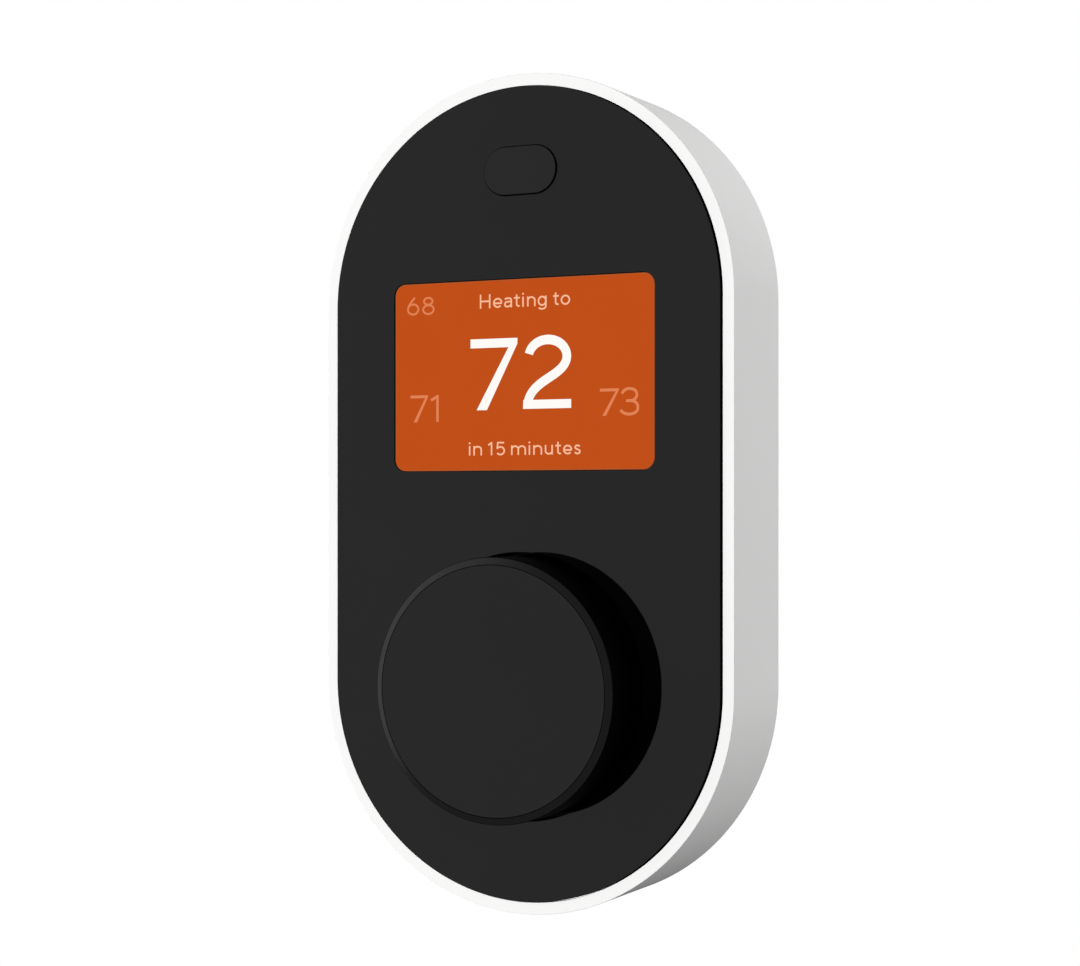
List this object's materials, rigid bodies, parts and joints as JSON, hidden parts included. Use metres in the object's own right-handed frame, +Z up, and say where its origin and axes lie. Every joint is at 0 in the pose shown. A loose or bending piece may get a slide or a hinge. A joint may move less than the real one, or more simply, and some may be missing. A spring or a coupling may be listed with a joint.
{
  "type": "wall thermostat",
  "caption": "Tall wall thermostat with round ends, a lit display, a motion sensor window and a dial that turns and presses, on a wall plate with wire terminals.",
  "frame": {"origin": "centre of the body's outline in the wall face, midway between the two wall screws", "axes": "+Z up, +Y into the wall, +X to the right of a person facing the dial"},
  "size_m": [0.068, 0.0274, 0.1248],
  "materials": {
    "housing_white": "fine satin",
    "panel_black": "satin",
    "dial_black": "satin",
    "dial_cap_black": "satin",
    "sensor_black": "satin, clear to infrared",
    "window_clear": "polished",
    "display_orange": "lit",
    "glass_grey": "polished",
    "diffuser_white": "matte film",
    "guide_clear": "polished clear acrylic",
    "frame_white": "matte",
    "led_cream": "matte",
    "ribbon_amber": "polyimide film",
    "connector_cream": "matte",
    "tape_black": "foam",
    "can_metal": "nickel plated",
    "board_green": "solder mask",
    "chip_black": "moulded",
    "shield_metal": "tinned",
    "relay_blue": "moulded",
    "capacitor_metal": "bright",
    "pin_gold": "gold flash",
    "switch_grey": "moulded",
    "plunger_cream": "acetal",
    "well_black": "moulded",
    "screw_steel": "zinc plated",
    "cover_grey": "moulded",
    "carrier_grey": "acetal",
    "spring_steel": "drawn wire",
    "leaf_bronze": "phosphor bronze",
    "bush_white": "acetal",
    "magnet_dark": "bonded ferrite",
    "holder_grey": "moulded",
    "plate_white": "moulded",
    "terminal_green": "moulded",
    "tab_white": "moulded",
    "socket_dark": "moulded",
    "vial_clear": "clear acrylic",
    "plug_white": "moulded",
    "liquid_green": "clear liquid"
  },
  "bodies": {
    "wall_plate": {"wall_plate": "plate_white", "terminal_block_left": "terminal_green", "terminal_block_right": "terminal_green", "terminal_clamps_left": "leaf_bronze", "terminal_clamps_right": "leaf_bronze", "contact_sockets": "socket_dark", "head_clips": "spring_steel", "level_vial": "vial_clear", "level_plugs": "plug_white", "level_liquid": "liquid_green"},
    "head": {"housing": "housing_white", "panel_tape": "tape_black", "front_panel": "panel_black", "display_window": "window_clear", "lcd_glass": "display_orange", "lcd_rear_glass": "glass_grey", "diffuser": "diffuser_white", "light_guide": "guide_clear", "lcd_frame": "frame_white", "backlight_leds": "led_cream", "lcd_ribbon": "ribbon_amber", "lcd_connector": "connector_cream", "sensor_window": "sensor_black", "pir_sensor": "can_metal", "main_board": "board_green", "processor": "chip_black", "wifi_module": "shield_metal", "relays": "relay_blue", "capacitors": "capacitor_metal", "header_pins": "pin_gold", "hall_sensors": "chip_black", "climate_sensor": "plug_white", "tact_switch": "switch_grey", "dial_base": "well_black", "dial_base_screws": "screw_steel", "back_cover": "cover_grey", "case_screws": "screw_steel"},
    "plunger": {"switch_plunger": "plunger_cream"},
    "carrier": {"dial_carrier": "carrier_grey", "return_spring": "spring_steel", "detent_spring": "leaf_bronze", "retaining_clip": "spring_steel"},
    "dial": {"dial_shell": "dial_black", "dial_cap": "dial_cap_black", "dial_bush": "bush_white", "magnet_holder": "holder_grey", "magnet_ring": "magnet_dark", "detent_ring": "bush_white"},
    "tab_1": {"terminal_tab_1": "tab_white"},
    "tab_2": {"terminal_tab_2": "tab_white"},
    "tab_3": {"terminal_tab_3": "tab_white"},
    "tab_4": {"terminal_tab_4": "tab_white"},
    "tab_5": {"terminal_tab_5": "tab_white"},
    "tab_6": {"terminal_tab_6": "tab_white"},
    "tab_7": {"terminal_tab_7": "tab_white"},
    "tab_8": {"terminal_tab_8": "tab_white"},
    "tab_9": {"terminal_tab_9": "tab_white"},
    "tab_10": {"terminal_tab_10": "tab_white"}
  },
  "joints": [
    {"name": "head_pull", "type": "slide", "parent": "wall_plate", "child": "head", "axis": [0, -1, 0], "range_m": [0, 0.03]},
    {"name": "dial_press", "type": "slide", "parent": "head", "child": "carrier", "axis": [0, 1, 0], "range_m": [0, 0.0005], "stiffness_N_per_m": 3000, "springref_m": -0.0005, "deforming": ["return_spring"]},
    {"name": "dial_turn", "type": "hinge", "parent": "carrier", "child": "dial", "pos_m": [0, -0.02, -0.0286], "axis": [0, 1, 0], "continuous": true},
    {"name": "select_press", "type": "slide", "parent": "head", "child": "plunger", "axis": [0, 1, 0], "range_m": [0, 0.0005]},
    {"name": "tab_1_push", "type": "slide", "parent": "wall_plate", "child": "tab_1", "axis": [0, 1, 0], "range_m": [0, 0.0014], "stiffness_N_per_m": 1500, "springref_m": -0.0008},
    {"name": "tab_2_push", "type": "slide", "parent": "wall_plate", "child": "tab_2", "axis": [0, 1, 0], "range_m": [0, 0.0014], "stiffness_N_per_m": 1500, "springref_m": -0.0008},
    {"name": "tab_3_push", "type": "slide", "parent": "wall_plate", "child": "tab_3", "axis": [0, 1, 0], "range_m": [0, 0.0014], "stiffness_N_per_m": 1500, "springref_m": -0.0008},
    {"name": "tab_4_push", "type": "slide", "parent": "wall_plate", "child": "tab_4", "axis": [0, 1, 0], "range_m": [0, 0.0014], "stiffness_N_per_m": 1500, "springref_m": -0.0008},
    {"name": "tab_5_push", "type": "slide", "parent": "wall_plate", "child": "tab_5", "axis": [0, 1, 0], "range_m": [0, 0.0014], "stiffness_N_per_m": 1500, "springref_m": -0.0008},
    {"name": "tab_6_push", "type": "slide", "parent": "wall_plate", "child": "tab_6", "axis": [0, 1, 0], "range_m": [0, 0.0014], "stiffness_N_per_m": 1500, "springref_m": -0.0008},
    {"name": "tab_7_push", "type": "slide", "parent": "wall_plate", "child": "tab_7", "axis": [0, 1, 0], "range_m": [0, 0.0014], "stiffness_N_per_m": 1500, "springref_m": -0.0008},
    {"name": "tab_8_push", "type": "slide", "parent": "wall_plate", "child": "tab_8", "axis": [0, 1, 0], "range_m": [0, 0.0014], "stiffness_N_per_m": 1500, "springref_m": -0.0008},
    {"name": "tab_9_push", "type": "slide", "parent": "wall_plate", "child": "tab_9", "axis": [0, 1, 0], "range_m": [0, 0.0014], "stiffness_N_per_m": 1500, "springref_m": -0.0008},
    {"name": "tab_10_push", "type": "slide", "parent": "wall_plate", "child": "tab_10", "axis": [0, 1, 0], "range_m": [0, 0.0014], "stiffness_N_per_m": 1500, "springref_m": -0.0008}
  ],
  "couplings": [
    {"joint": "select_press", "follows": "dial_press", "ratio": 1}
  ]
}
